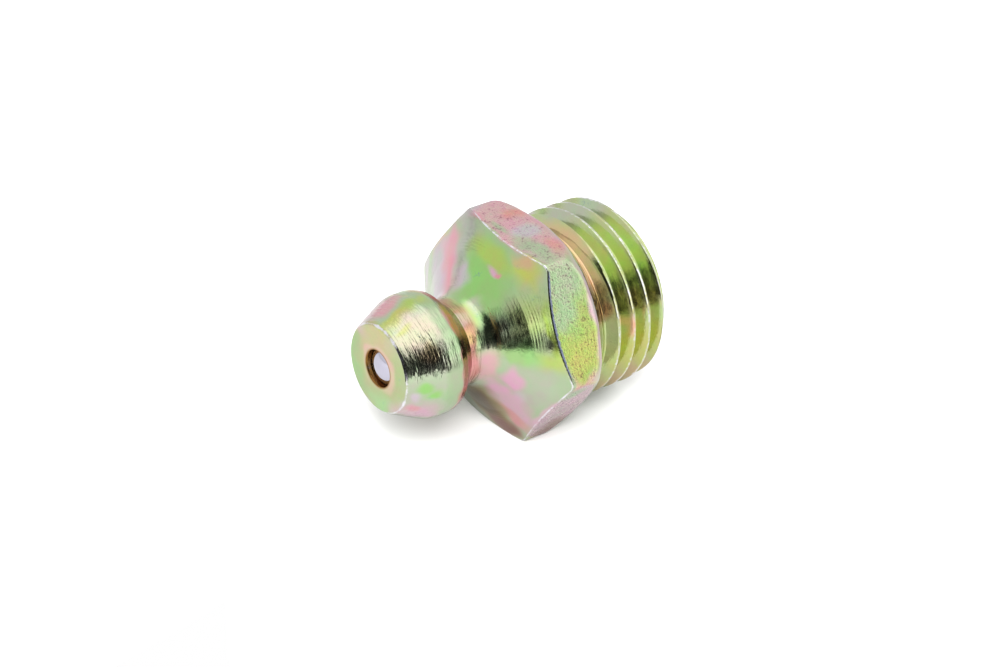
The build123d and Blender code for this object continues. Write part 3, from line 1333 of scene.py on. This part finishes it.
    def soft_edge(self, bar: np.ndarray) -> SoftEdge:
        """Finds where the flats' rear edge eases into the turned crown.

        Args:
            bar: The bar's radius at each column.

        Returns:
            The edge's places at each column.
        """
        centre_x, centre_radius = self.crown_centre
        crossing = np.arcsin((bar - centre_radius) / self.crown_radius)
        least = math.radians(self.crown_angle + self.least_turn)
        landing = np.maximum(crossing - math.radians(self.edge_turn), least)
        land_x = centre_x + self.crown_radius * np.cos(landing)
        land_radius = centre_radius + self.crown_radius * np.sin(landing)
        corner_x = land_x - (bar - land_radius) * np.tan(landing)
        return SoftEdge(corner_x - self.edge_lead, corner_x, land_x, land_radius, landing)

    def crown_rows(self, bar: np.ndarray, steps: int = 6) -> Rows:
        """The rows over the flats' soft rear edge and down the crown, short of the seat.

        Args:
            bar: The bar's radius at each column.
            steps: Rows over the edge, and again down the crown.

        Returns:
            The rows between the flats' last row and the seat's first.
        """
        edge, (centre_x, centre_radius) = self.soft_edge(bar), self.crown_centre
        t = (np.arange(1, steps + 1) / steps)[:, None]
        x = (1 - t) ** 2 * edge.start_x + 2 * t * (1 - t) * edge.corner_x + t**2 * edge.land_x
        radius = (1 - t**2) * bar + t**2 * edge.land_radius
        dx = (1 - t) * (edge.corner_x - edge.start_x) + t * (edge.land_x - edge.corner_x)
        dr = t * (edge.land_radius - bar)
        size = np.hypot(dx, dr)
        drawn = np.broadcast_to(np.clip(self.edge_skin - t, 0, 1), x.shape)
        down = edge.landing + (math.radians(self.crown_angle) - edge.landing) * (t - 0.5 / steps)
        return Rows(
            np.vstack([x, centre_x + self.crown_radius * np.cos(down)]),
            np.vstack([radius, centre_radius + self.crown_radius * np.sin(down)]),
            np.vstack([dx / size, np.sin(down)]),
            np.vstack([dr / size, -np.cos(down)]),
            np.vstack([drawn, np.zeros_like(down)]),
        )

    def seat_corners(self) -> list[Corner]:
        """The outline from the seat over the run-out groove to where the thread begins.

        Returns:
            The outline's corners.
        """
        runout, rear = self.runout_radius, self.runout_rear_x
        return [
            Corner(0.0, self.seat_radius, step=0.1),
            Corner(0.0, self.corner_radius, 0.04, step=0.1),
            Corner(rear - self.runout_width, runout, self.runout_fillet, step=0.06),
            Corner(rear, runout, self.runout_fillet, step=0.05),
            Corner(rear + self.thread.root - runout, self.thread.root),
        ]

    def rear_corners(self) -> list[Corner]:
        """The outline from the thread's end over the recess and collar and back through the bore.

        Returns:
            The outline's corners.
        """
        recess = self.thread.root - self.recess_wall
        floor = self.shank_length - self.recess_depth
        collar = self.bore_radius + self.collar_wall
        collar_end = self.shank_length - self.collar_setback
        rim = self.outlet_radius + self.lip_rim
        seat = self.face_x + self.inlet_length
        return [
            Corner(self.shank_length, self.thread.root, step=0.1),
            Corner(self.shank_length, recess, 0.06),
            Corner(floor, recess, 0.12),
            Corner(floor, collar, 0.12),
            Corner(collar_end - (collar - rim) * TAN_30, collar, 0.12, step=0.1),
            Corner(collar_end, rim, 0.04, step=0.1),
            Corner(collar_end, self.outlet_radius, 0.04),
            Corner(self.lip_x, self.outlet_radius, 0.03),
            Corner(self.lip_x, self.bore_radius, 0.05, step=0.6),
            Corner(seat + self.bore_radius - self.inlet_radius, self.bore_radius, 0.05),
            Corner(seat, self.inlet_radius, 0.03, step=0.12),
            Corner(self.face_x, self.inlet_radius),
        ]

    def shank_radius(self, x: np.ndarray, angle: np.ndarray) -> np.ndarray:
        """The threaded shank's radius.

        Args:
            x: Places along the axis.
            angle: Angles in radians.

        Returns:
            The radius at each place.
        """
        rising = self.runout_radius + x - self.runout_rear_x
        falling = self.thread.root + self.shank_length - x
        blank = np.minimum(np.minimum(rising, falling), self.thread.radius)
        helix = self.thread.helix_radius(x, angle)
        return 0.5 * (blank + helix - np.sqrt((blank - helix) ** 2 + self.blank_softness**2))

    def passage(self, points: np.ndarray) -> np.ndarray:
        """Finds the wall of the grease passage.

        Args:
            points: Places in millimetres.

        Returns:
            Whether each point lies on it.
        """
        x, within = points[:, 0], np.hypot(points[:, 1], points[:, 2]) - self.passage_margin
        behind_face = x > self.face_x + self.inlet_length / 2
        in_bore = behind_face & (x < self.lip_x + self.passage_margin) & (within < self.bore_radius)
        in_outlet = (x >= self.lip_x) & (within < self.outlet_radius)
        return (within < self.inlet_radius) | in_bore | in_outlet

    def build(self) -> bpy.types.Object:
        """Makes the body's mesh, which replaces the CAD node.

        Returns:
            The new object, dressed and riding on the nipple.
        """
        hexagon = RoundedHexagon(self.flat_radius, self.hexagon_corner)
        angles = hexagon.columns()
        bar = hexagon.radius(angles)
        head = self.feed_marked(turned_rows(self.front_corners(bar), len(angles)))
        seat = turned_rows(self.seat_corners(), len(angles))
        front = Rows.joined([head, self.crown_rows(bar), seat])
        rear = turned_rows(self.rear_corners(), len(angles))
        mesh = BodyGrid(self, angles, front, rear).mesh()
        obj = linked_object("plated_body", mesh, self.finish.material())
        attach(obj, "nipple")
        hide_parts("body")
        return obj


class ThreadEnd(IntEnum):
    """What stands in the thread's grid of points for the circular row before or behind it."""

    BEFORE = -2
    BEHIND = -3


class BodyGrid:
    """The body's points, row by row round the axis, with the thread's rows along its helix.

    Attributes:
        end_margin: Least distance from the thread's rows to the circular rows at its ends.
    """

    end_margin = 0.012

    def __init__(self, body: Body, angles: np.ndarray, front: Rows, rear: Rows) -> None:
        """Lays out all points and faces.

        Args:
            body: The body's sizes.
            angles: Angle of each column, in radians.
            front: Rows from the inlet's rim to the thread.
            rear: Rows from the thread back to the inlet's rim, the last one the same as the first.
        """
        self.body = body
        self.angles = angles
        self.points: list[np.ndarray] = []
        self.normals: list[np.ndarray] = []
        self.along: list[np.ndarray] = []
        self.drawn: list[np.ndarray] = []
        self.faces: list[tuple[int, ...]] = []
        self.count = 0
        front_ids = self._add_rows(front, body.inlet_radius)
        low, start = float(self.points[-1][0, 0]), float(self.along[-1][-1])
        thread_ids = self._add_thread(low, start)
        rear_ids = self._add_rows(rear, start + (body.shank_length - low), last_is_first=True)
        self._stitch(front_ids)
        self._stitch_thread(thread_ids, front_ids[-1], rear_ids[0])
        self._stitch([*rear_ids, front_ids[0]])

    def _add(
        self,
        x: np.ndarray,
        r: np.ndarray,
        angle: np.ndarray,
        normal: np.ndarray,
        along: np.ndarray,
        drawn: np.ndarray,
    ) -> np.ndarray:
        """Adds points.

        Args:
            x: Their places along the axis.
            r: Their distances from the axis.
            angle: Their angles, in radians.
            normal: Their normals, of any length.
            along: Their distances along the outline.
            drawn: Whether they are on the bar's drawn skin.

        Returns:
            The points' numbers.
        """
        self.points.append(np.stack([x, r * np.cos(angle), r * np.sin(angle)], 1))
        self.normals.append(normal / np.linalg.norm(normal, axis=1)[:, None])
        self.along.append(along)
        self.drawn.append(drawn)
        self.count += len(x)
        return np.arange(self.count - len(x), self.count)

    def _add_rows(self, rows: Rows, start: float, last_is_first: bool = False) -> list[np.ndarray]:
        """Adds circular rows.

        Args:
            rows: The rows.
            start: The first row's distance along the outline.
            last_is_first: Whether the last row is the body's first, which isn't added again.

        Returns:
            The numbers of each row's points.
        """
        step = np.hypot(np.diff(rows.x, axis=0), np.diff(rows.radius, axis=0)).mean(1)
        along = start + np.concatenate([[0.0], np.cumsum(step)])
        cos, sin = np.cos(self.angles), np.sin(self.angles)
        ids = []
        for k in range(len(rows.x) - last_is_first):
            x, r = rows.x[k], rows.radius[k]
            x_slope, r_slope = self._round_slope(x), self._round_slope(r)
            outline = np.stack([rows.dx[k], rows.dr[k] * cos, rows.dr[k] * sin], 1)
            around = np.stack([x_slope, r_slope * cos - r * sin, r_slope * sin + r * cos], 1)
            normal = np.cross(around, outline)
            ids.append(self._add(x, r, self.angles, normal, np.full(len(x), along[k]), rows.drawn[k]))
        return ids

    def _round_slope(self, values: np.ndarray) -> np.ndarray:
        """The slope of a row's values round the axis.

        Args:
            values: A value for each column.

        Returns:
            Its slope in each radian.
        """
        gaps = np.diff(np.append(self.angles, self.angles[0] + math.tau))
        after = (np.roll(values, -1) - values) / gaps
        return 0.5 * (after + np.roll(after, 1))

    def _add_thread(self, low: float, start: float) -> np.ndarray:
        """Adds the thread's points, in rows that follow its helix.

        Args:
            low: Where the circular row before the thread is.
            start: That row's distance along the outline.

        Returns:
            The points' numbers by row and column, with a ThreadEnd for each that lies past an end.
        """
        body, thread = self.body, self.body.thread
        high = body.shank_length
        first, last = ((end - thread.crest_x) / thread.pitch for end in (low, high))
        turns = np.arange(math.floor(first) - 2, math.ceil(last) + 2)
        base = (thread.crest_x + (turns[:, None] + thread.phases()[None, :]) * thread.pitch).ravel()
        grid = base[:, None] + thread.turned(self.angles)[None, :] * thread.pitch
        before, behind = grid < low + self.end_margin, grid > high - self.end_margin
        inside = ~(before | behind)
        x, angle = grid[inside], np.broadcast_to(self.angles, grid.shape)[inside]
        r, h = body.shank_radius(x, angle), SLOPE_STEP
        x_slope = (body.shank_radius(x + h, angle) - body.shank_radius(x - h, angle)) / (2 * h)
        turn_slope = (body.shank_radius(x, angle + h) - body.shank_radius(x, angle - h)) / (2 * h)
        cos, sin = np.cos(angle), np.sin(angle)
        normal = np.stack([-x_slope, cos + sin * turn_slope / r, sin - cos * turn_slope / r], 1)
        ids = np.full(grid.shape, ThreadEnd.BEFORE)
        ids[behind] = ThreadEnd.BEHIND
        ids[inside] = self._add(x, r, angle, normal, start + x - low, np.zeros(len(x)))
        return ids

    def _stitch(self, rows: Sequence[np.ndarray]) -> None:
        """Adds the faces between circular rows."""
        for a, b in zip(rows, rows[1:]):
            self._ring(a, np.roll(a, -1), b, np.roll(b, -1))

    def _stitch_thread(self, ids: np.ndarray, start_row: np.ndarray, end_row: np.ndarray) -> None:
        """Adds the thread's faces, between the circular rows at its ends.

        Args:
            ids: The numbers of the thread's points, as _add_thread gives them.
            start_row: Numbers of the row before the thread.
            end_row: Numbers of the row behind it.
        """
        ids = np.where(ids == ThreadEnd.BEFORE, start_row, ids)
        ids = np.where(ids == ThreadEnd.BEHIND, end_row, ids)
        ids = np.vstack([start_row, ids, end_row])
        last = len(ids) - 1
        a_turn_on = np.minimum(np.arange(len(ids)) + len(self.body.thread.phases()), last)
        a_turn_on[0] = 0
        ids = np.column_stack([ids, ids[a_turn_on, 0]])
        for a, b in zip(ids, ids[1:]):
            self._ring(a[:-1], a[1:], b[:-1], b[1:])

    def _ring(self, a: np.ndarray, a_next: np.ndarray, b: np.ndarray, b_next: np.ndarray) -> None:
        """Adds the faces between two rows, leaving out what has no area.

        Args:
            a: Points of the first row.
            a_next: The points after them round the axis.
            b: Points of the second row.
            b_next: The points after them round the axis.
        """
        for quad in zip(a.tolist(), a_next.tolist(), b_next.tolist(), b.tolist()):
            face = tuple(dict.fromkeys(quad))
            if len(face) > 2:
                self.faces.append(face)

    def mesh(self) -> bpy.types.Mesh:
        """Makes the mesh.

        Returns:
            The mesh, in metres, with its normals and the attributes that the plating reads.
        """
        points, along = np.concatenate(self.points), np.concatenate(self.along)
        radius = np.hypot(points[:, 1], points[:, 2])
        crest = self.body.thread.crest_share_at(points[:, 0], radius)
        film = self.body.film.over(points, along, self.body.passage(points), crest)
        mesh = smooth_mesh("body", points, self.faces)
        for key, values in {"along": along, "drawn": np.concatenate(self.drawn), **film}.items():
            kind, slot = ("FLOAT", "value") if values.ndim == 1 else ("FLOAT_COLOR", "color")
            mesh.attributes.new(key, kind, "POINT").data.foreach_set(slot, values.astype(np.float32).ravel())
        mesh.update()
        mesh.normals_split_custom_set_from_vertices(np.concatenate(self.normals).tolist())
        return mesh


# ---------------------------------------------------------------- valve


@dataclass
class CheckBall:
    """The ball that closes the inlet from inside."""

    centre_x: float
    radius: float
    finish: BareSteel = LAPPED_BALL_STEEL

    @classmethod
    def from_frame(cls) -> CheckBall:
        """Takes the ball's place and size from its box."""
        low, high = (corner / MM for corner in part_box("ball"))
        return cls((low.x + high.x) / 2, (high.x - low.x) / 2)

    def build(self, rings: int = 48, segments: int = 96) -> bpy.types.Object:
        """Makes the ball, with its poles on the nipple's axis.

        Args:
            rings: Rows from pole to pole.
            segments: Points in a row.

        Returns:
            The new object, dressed and riding on the check ball's body.
        """
        polar = math.pi * np.arange(1, rings)[:, None] / rings
        turn = math.tau * np.arange(segments)[None, :] / segments
        x = np.broadcast_to(-np.cos(polar), (rings - 1, segments))
        round_points = np.stack([x, np.sin(polar) * np.cos(turn), np.sin(polar) * np.sin(turn)], 2)
        points = np.vstack([[-1.0, 0.0, 0.0], round_points.reshape(-1, 3), [1.0, 0.0, 0.0]])
        last, end = len(points) - 1, 1 + (rings - 2) * segments
        faces: list[tuple[int, ...]] = []
        for k in range(segments):
            n = (k + 1) % segments
            faces.append((0, 1 + k, 1 + n))
            for a in range(1, end, segments):
                b = a + segments
                faces.append((a + k, b + k, b + n, a + n))
            faces.append((end + k, last, end + n))
        mesh = smooth_mesh("ball", points * self.radius + [self.centre_x, 0.0, 0.0], faces)
        obj = linked_object("check_ball_steel", mesh, self.finish.material())
        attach(obj, "check_ball")
        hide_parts("ball")
        return obj


@dataclass
class Spring:
    """The compression spring: a closed turn at each end and active turns between them."""

    front_x: float
    rear_x: float
    coil_radius: float
    wire_radius: float = 0.175
    active_turns: int = 8
    closed_pitch: float = 0.364
    finish: BareSteel = DRAWN_SPRING_STEEL

    @classmethod
    def from_frame(cls) -> Spring:
        """Takes the ends of the wire's middle line and its coil from the spring's box.

        Returns:
            The spring.
        """
        low, high = (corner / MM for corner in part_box("spring"))
        return cls(low.x + cls.wire_radius, high.x - cls.wire_radius, high.y - cls.wire_radius * COS_30)

    def line(self, steps: int = 48) -> np.ndarray:
        """Lays out the wire's middle line.

        Args:
            steps: Points in a turn.

        Returns:
            The line's points, in millimetres.
        """
        turns = self.active_turns + 2
        pitch = (self.rear_x - self.front_x - 2 * self.closed_pitch) / self.active_turns
        turn = np.arange(turns * steps + 1) / steps
        closed = np.minimum(turn, 1) + np.maximum(turn - (turns - 1), 0)
        x = self.front_x + closed * self.closed_pitch + (turn - closed) * pitch
        angle = math.tau * turn
        return np.stack([x, self.coil_radius * np.cos(angle), self.coil_radius * np.sin(angle)], 1)

    def build(self, travel: float, sides: int = 14) -> bpy.types.Object:
        """Makes the wire, round in section.

        Args:
            travel: The ball's travel, in millimetres; not used.
            sides: Points round the wire.

        Returns:
            The new object, dressed and riding on the nipple.
        """
        line = self.line()
        ahead = np.gradient(line, axis=0)
        ahead /= np.linalg.norm(ahead, axis=1)[:, None]
        out = line * [0, 1, 1]
        out -= ahead * (out * ahead).sum(1)[:, None]
        out /= np.linalg.norm(out, axis=1)[:, None]
        side = np.cross(ahead, out)
        turn = (math.tau * np.arange(sides) / sides)[None, :, None]
        ring = out[:, None, :] * np.cos(turn) + side[:, None, :] * np.sin(turn)
        points = (line[:, None, :] + self.wire_radius * ring).reshape(-1, 3)
        end = (len(line) - 1) * sides
        faces: list[tuple[int, ...]] = []
        for a in range(0, end, sides):
            for k in range(sides):
                n = (k + 1) % sides
                faces.append((a + k, a + n, a + sides + n, a + sides + k))
        faces.append(tuple(reversed(range(sides))))
        faces.append(tuple(range(end, end + sides)))
        obj = linked_object("spring_wire", smooth_mesh("spring", points, faces), self.finish.material())
        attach(obj, "nipple")
        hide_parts("spring")
        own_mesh(obj)
        return obj


# ---------------------------------------------------------------- studio


def toward(azimuth: float, elevation: float) -> Vector:
    """Unit vector towards an azimuth, in degrees from +Y towards +X, and an elevation."""
    a, e = math.radians(azimuth), math.radians(elevation)
    return Vector((math.sin(a) * math.cos(e), math.cos(a) * math.cos(e), math.sin(e)))


@dataclass(frozen=True)
class TentStrip:
    """A darker or brighter strip of the light tent, as the nipple sees it, with round ends.

    Attributes:
        start: Azimuth and elevation of the middle of one end, in degrees.
        end: Azimuth and elevation of the middle of the other end.
        radius: Half its width, in degrees.
        level: Its light, as a share of the tent's.
        softness: Angle over which its edge fades, in degrees.
    """

    start: tuple[float, float]
    end: tuple[float, float]
    radius: float
    level: float
    softness: float

    def shade(self, graph: Graph, way: Any) -> bpy.types.NodeSocket:
        """The share of the tent's light in each direction.

        Args:
            graph: The world's graph.
            way: The direction.

        Returns:
            The output with the share.
        """
        first = toward(*self.start)
        span = toward(*self.end) - first
        off = graph.vector("SUBTRACT", way, tuple(first))
        share = graph.math("DIVIDE", graph.dot(off, tuple(span)), span.length_squared, clamp=True)
        reach = graph.scaled(tuple(span), share)
        nearest = graph.vector("NORMALIZE", graph.vector("ADD", reach, tuple(first)))
        half_edge = self.softness / 2
        outer, inner = (math.cos(math.radians(self.radius + turn)) for turn in (half_edge, -half_edge))
        return graph.smooth(graph.dot(way, nearest), (outer, inner), (1.0, self.level))


@dataclass(frozen=True)
class SoftBox:
    """A square lamp that faces the nipple and that the metal doesn't mirror.

    Attributes:
        name: Its name.
        azimuth: Direction in degrees from +Y towards +X.
        elevation: In degrees over the horizon.
        reach: Distance in millimetres.
        size: Side in millimetres.
        power: In watts.
    """

    name: str
    azimuth: float
    elevation: float
    reach: float
    size: float
    power: float

    def build(self) -> None:
        """Adds the lamp."""
        way = toward(self.azimuth, self.elevation)
        data = bpy.data.lights.new(self.name, "AREA")
        data.size = self.size * MM
        data.energy = self.power
        obj = linked_object(self.name, data)
        obj.location = way * self.reach * MM
        obj.rotation_euler = way.to_track_quat("Z", "Y").to_euler()
        obj.visible_glossy = False


@dataclass
class Studio:
    """A light tent round a small pale floor, a lamp, and the camera that looks in, in millimetres.

    Attributes:
        floor_z: Height of the floor.
        aim: What the camera points at.
        distance: From there to the camera.
        azimuth: The camera's direction round the nipple, in degrees from -Y towards +X.
        elevation: The camera's height, in degrees over the horizon.
        roll: How far the camera is turned about its view, in degrees.
        lens: Focal length.
        sensor: Width of the camera's sensor.
        clip: Nearest and furthest distance that the camera sees.
        floor_corner: Azimuth and distance of the floor's corner that shows in reflections.
        floor_edges: Azimuths of the two edges that run from that corner.
        floor_reach: How far the floor runs the other way.
        floor_seen: The floor's grey for the camera, under light that makes it white.
        floor_mirrored: The floor's grey in the metal's reflections, under the same light.
        tent: The tent's light level.
        top: Its level overhead.
        top_span: Heights, on a sphere of radius 1, between which it changes to that.
        below: Its level under the horizon, as a share.
        below_span: Heights between which it changes to that.
        strips: The tent's darker and brighter strips.
        lamps: The lamps.
    """

    floor_z: float
    aim: tuple[float, float, float] = (-2.451, -0.333, -0.306)
    distance: float = 141.8
    azimuth: float = -42.25
    elevation: float = 34.9
    roll: float = 7.27
    lens: float = 100.0
    sensor: float = 36.0
    clip: tuple[float, float] = (5.0, 10000.0)
    floor_corner: tuple[float, float] = (256.0, 23.0)
    floor_edges: tuple[float, float] = (211.0, 260.0)
    floor_reach: float = 900.0
    floor_seen: float = 0.78
    floor_mirrored: float = 0.49
    tent: float = 0.92
    top: float = 1.6
    top_span: tuple[float, float] = (0.68, 0.92)
    below: float = 0.06
    below_span: tuple[float, float] = (-0.12, -0.02)
    strips: tuple[TentStrip, ...] = (
        TentStrip((203.0, 19.0), (243.0, 21.0), radius=26.0, level=0.03, softness=10.0),
        TentStrip((250.0, 3.0), (256.0, 6.0), radius=10.0, level=0.03, softness=8.0),
        TentStrip((158.0, 36.0), (165.0, 6.0), radius=9.5, level=0.06, softness=8.0),
        TentStrip((132.0, 38.0), (138.0, 12.0), radius=12.0, level=1.7, softness=8.0),
    )
    lamps: tuple[SoftBox, ...] = (
        SoftBox("front_lamp", azimuth=226.0, elevation=47.0, reach=260.0, size=140.0, power=1.3),
    )

    def camera(self) -> None:
        """Sets up the camera."""
        a, e, roll = (math.radians(v) for v in (self.azimuth, self.elevation, self.roll))
        back = Vector((math.sin(a) * math.cos(e), -math.cos(a) * math.cos(e), math.sin(e)))
        level = Vector((math.cos(a), math.sin(a), 0.0))
        upright = back.cross(level)
        right = level * math.cos(roll) + upright * math.sin(roll)
        up = upright * math.cos(roll) - level * math.sin(roll)
        data = bpy.data.cameras.new("camera")
        data.lens = self.lens
        data.sensor_width = self.sensor
        data.clip_start, data.clip_end = (distance * MM for distance in self.clip)
        place = (Vector(self.aim) + back * self.distance) * MM
        obj = linked_object("camera", data)
        obj.matrix_world = Matrix.LocRotScale(place, Matrix((right, up, back)).transposed(), None)
        bpy.context.scene.camera = obj

    def world(self) -> None:
        """Makes the tent, which the camera sees as plain white."""
        world = bpy.data.worlds.new("tent")
        world.use_nodes = True
        bpy.context.scene.world = world
        graph = Graph(world.node_tree)
        way = graph.node("ShaderNodeTexCoord").outputs["Generated"]
        height = graph.node("ShaderNodeSeparateXYZ", {0: way}).outputs["Z"]
        level = graph.smooth(height, self.top_span, (self.tent, self.top))
        for strip in self.strips:
            level = graph.math("MULTIPLY", level, strip.shade(graph, way))
        level = graph.math("MULTIPLY", level, graph.smooth(height, self.below_span, (self.below, 1.0)))
        by_camera = graph.node("ShaderNodeLightPath").outputs["Is Camera Ray"]
        strength = graph.node("ShaderNodeMix", {0: by_camera, 2: level, 3: 1.0}, data_type="FLOAT").outputs[0]
        background = graph.node("ShaderNodeBackground", {"Color": (1, 1, 1, 1), "Strength": strength})
        graph.node("ShaderNodeOutputWorld", {"Surface": background.outputs[0]})

    def floor(self) -> None:
        """Makes the floor, which keeps the nipple's shadow."""
        azimuth, out = self.floor_corner
        corner, reach = toward(azimuth, 0.0) * out, self.floor_reach
        near, left = (corner + toward(edge, 0.0) * reach for edge in self.floor_edges)
        outline = [corner.xy, near.xy, (reach, near.y), (reach, reach), (left.x, reach), left.xy]
        points = np.array([(x, y, self.floor_z) for x, y in outline])
        mesh = bpy.data.meshes.new("floor")
        mesh.from_pydata((points * MM).tolist(), [], [tuple(range(len(points)))])
        material, graph = new_material("floor")
        by_camera = graph.node("ShaderNodeLightPath").outputs["Is Camera Ray"]
        greys = ((grey, grey, grey, 1.0) for grey in (self.floor_mirrored, self.floor_seen))
        diffuse = graph.node("ShaderNodeBsdfDiffuse", {"Color": graph.mix(by_camera, *greys)})
        graph.node("ShaderNodeOutputMaterial", {"Surface": diffuse.outputs[0]})
        obj = linked_object("floor", mesh, material)

    def build(self) -> None:
        """Builds the whole studio."""
        self.world()
        self.floor()
        for lamp in self.lamps:
            lamp.build()
        self.camera()
        bpy.context.scene.view_settings.view_transform = "Standard"


# ---------------------------------------------------------------- all together


def main() -> None:
    """Loads the frame and builds the nipple's pieces around it, then the studio."""
    logging.basicConfig(level=logging.INFO, format="%(name)s: %(message)s")
    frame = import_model()
    body = Body.from_frame(frame["record"])
    travel = frame["joints"][0]["range_m"][1] / MM
    pieces = [body.build(), CheckBall.from_frame().build(), Spring.from_frame().build(travel)]
    for piece in pieces:
        LOG.info("%s: %d faces", piece.name, len(piece.data.polygons))
    Studio(-body.flat_radius).build()


if __name__ == "__main__":
    main()
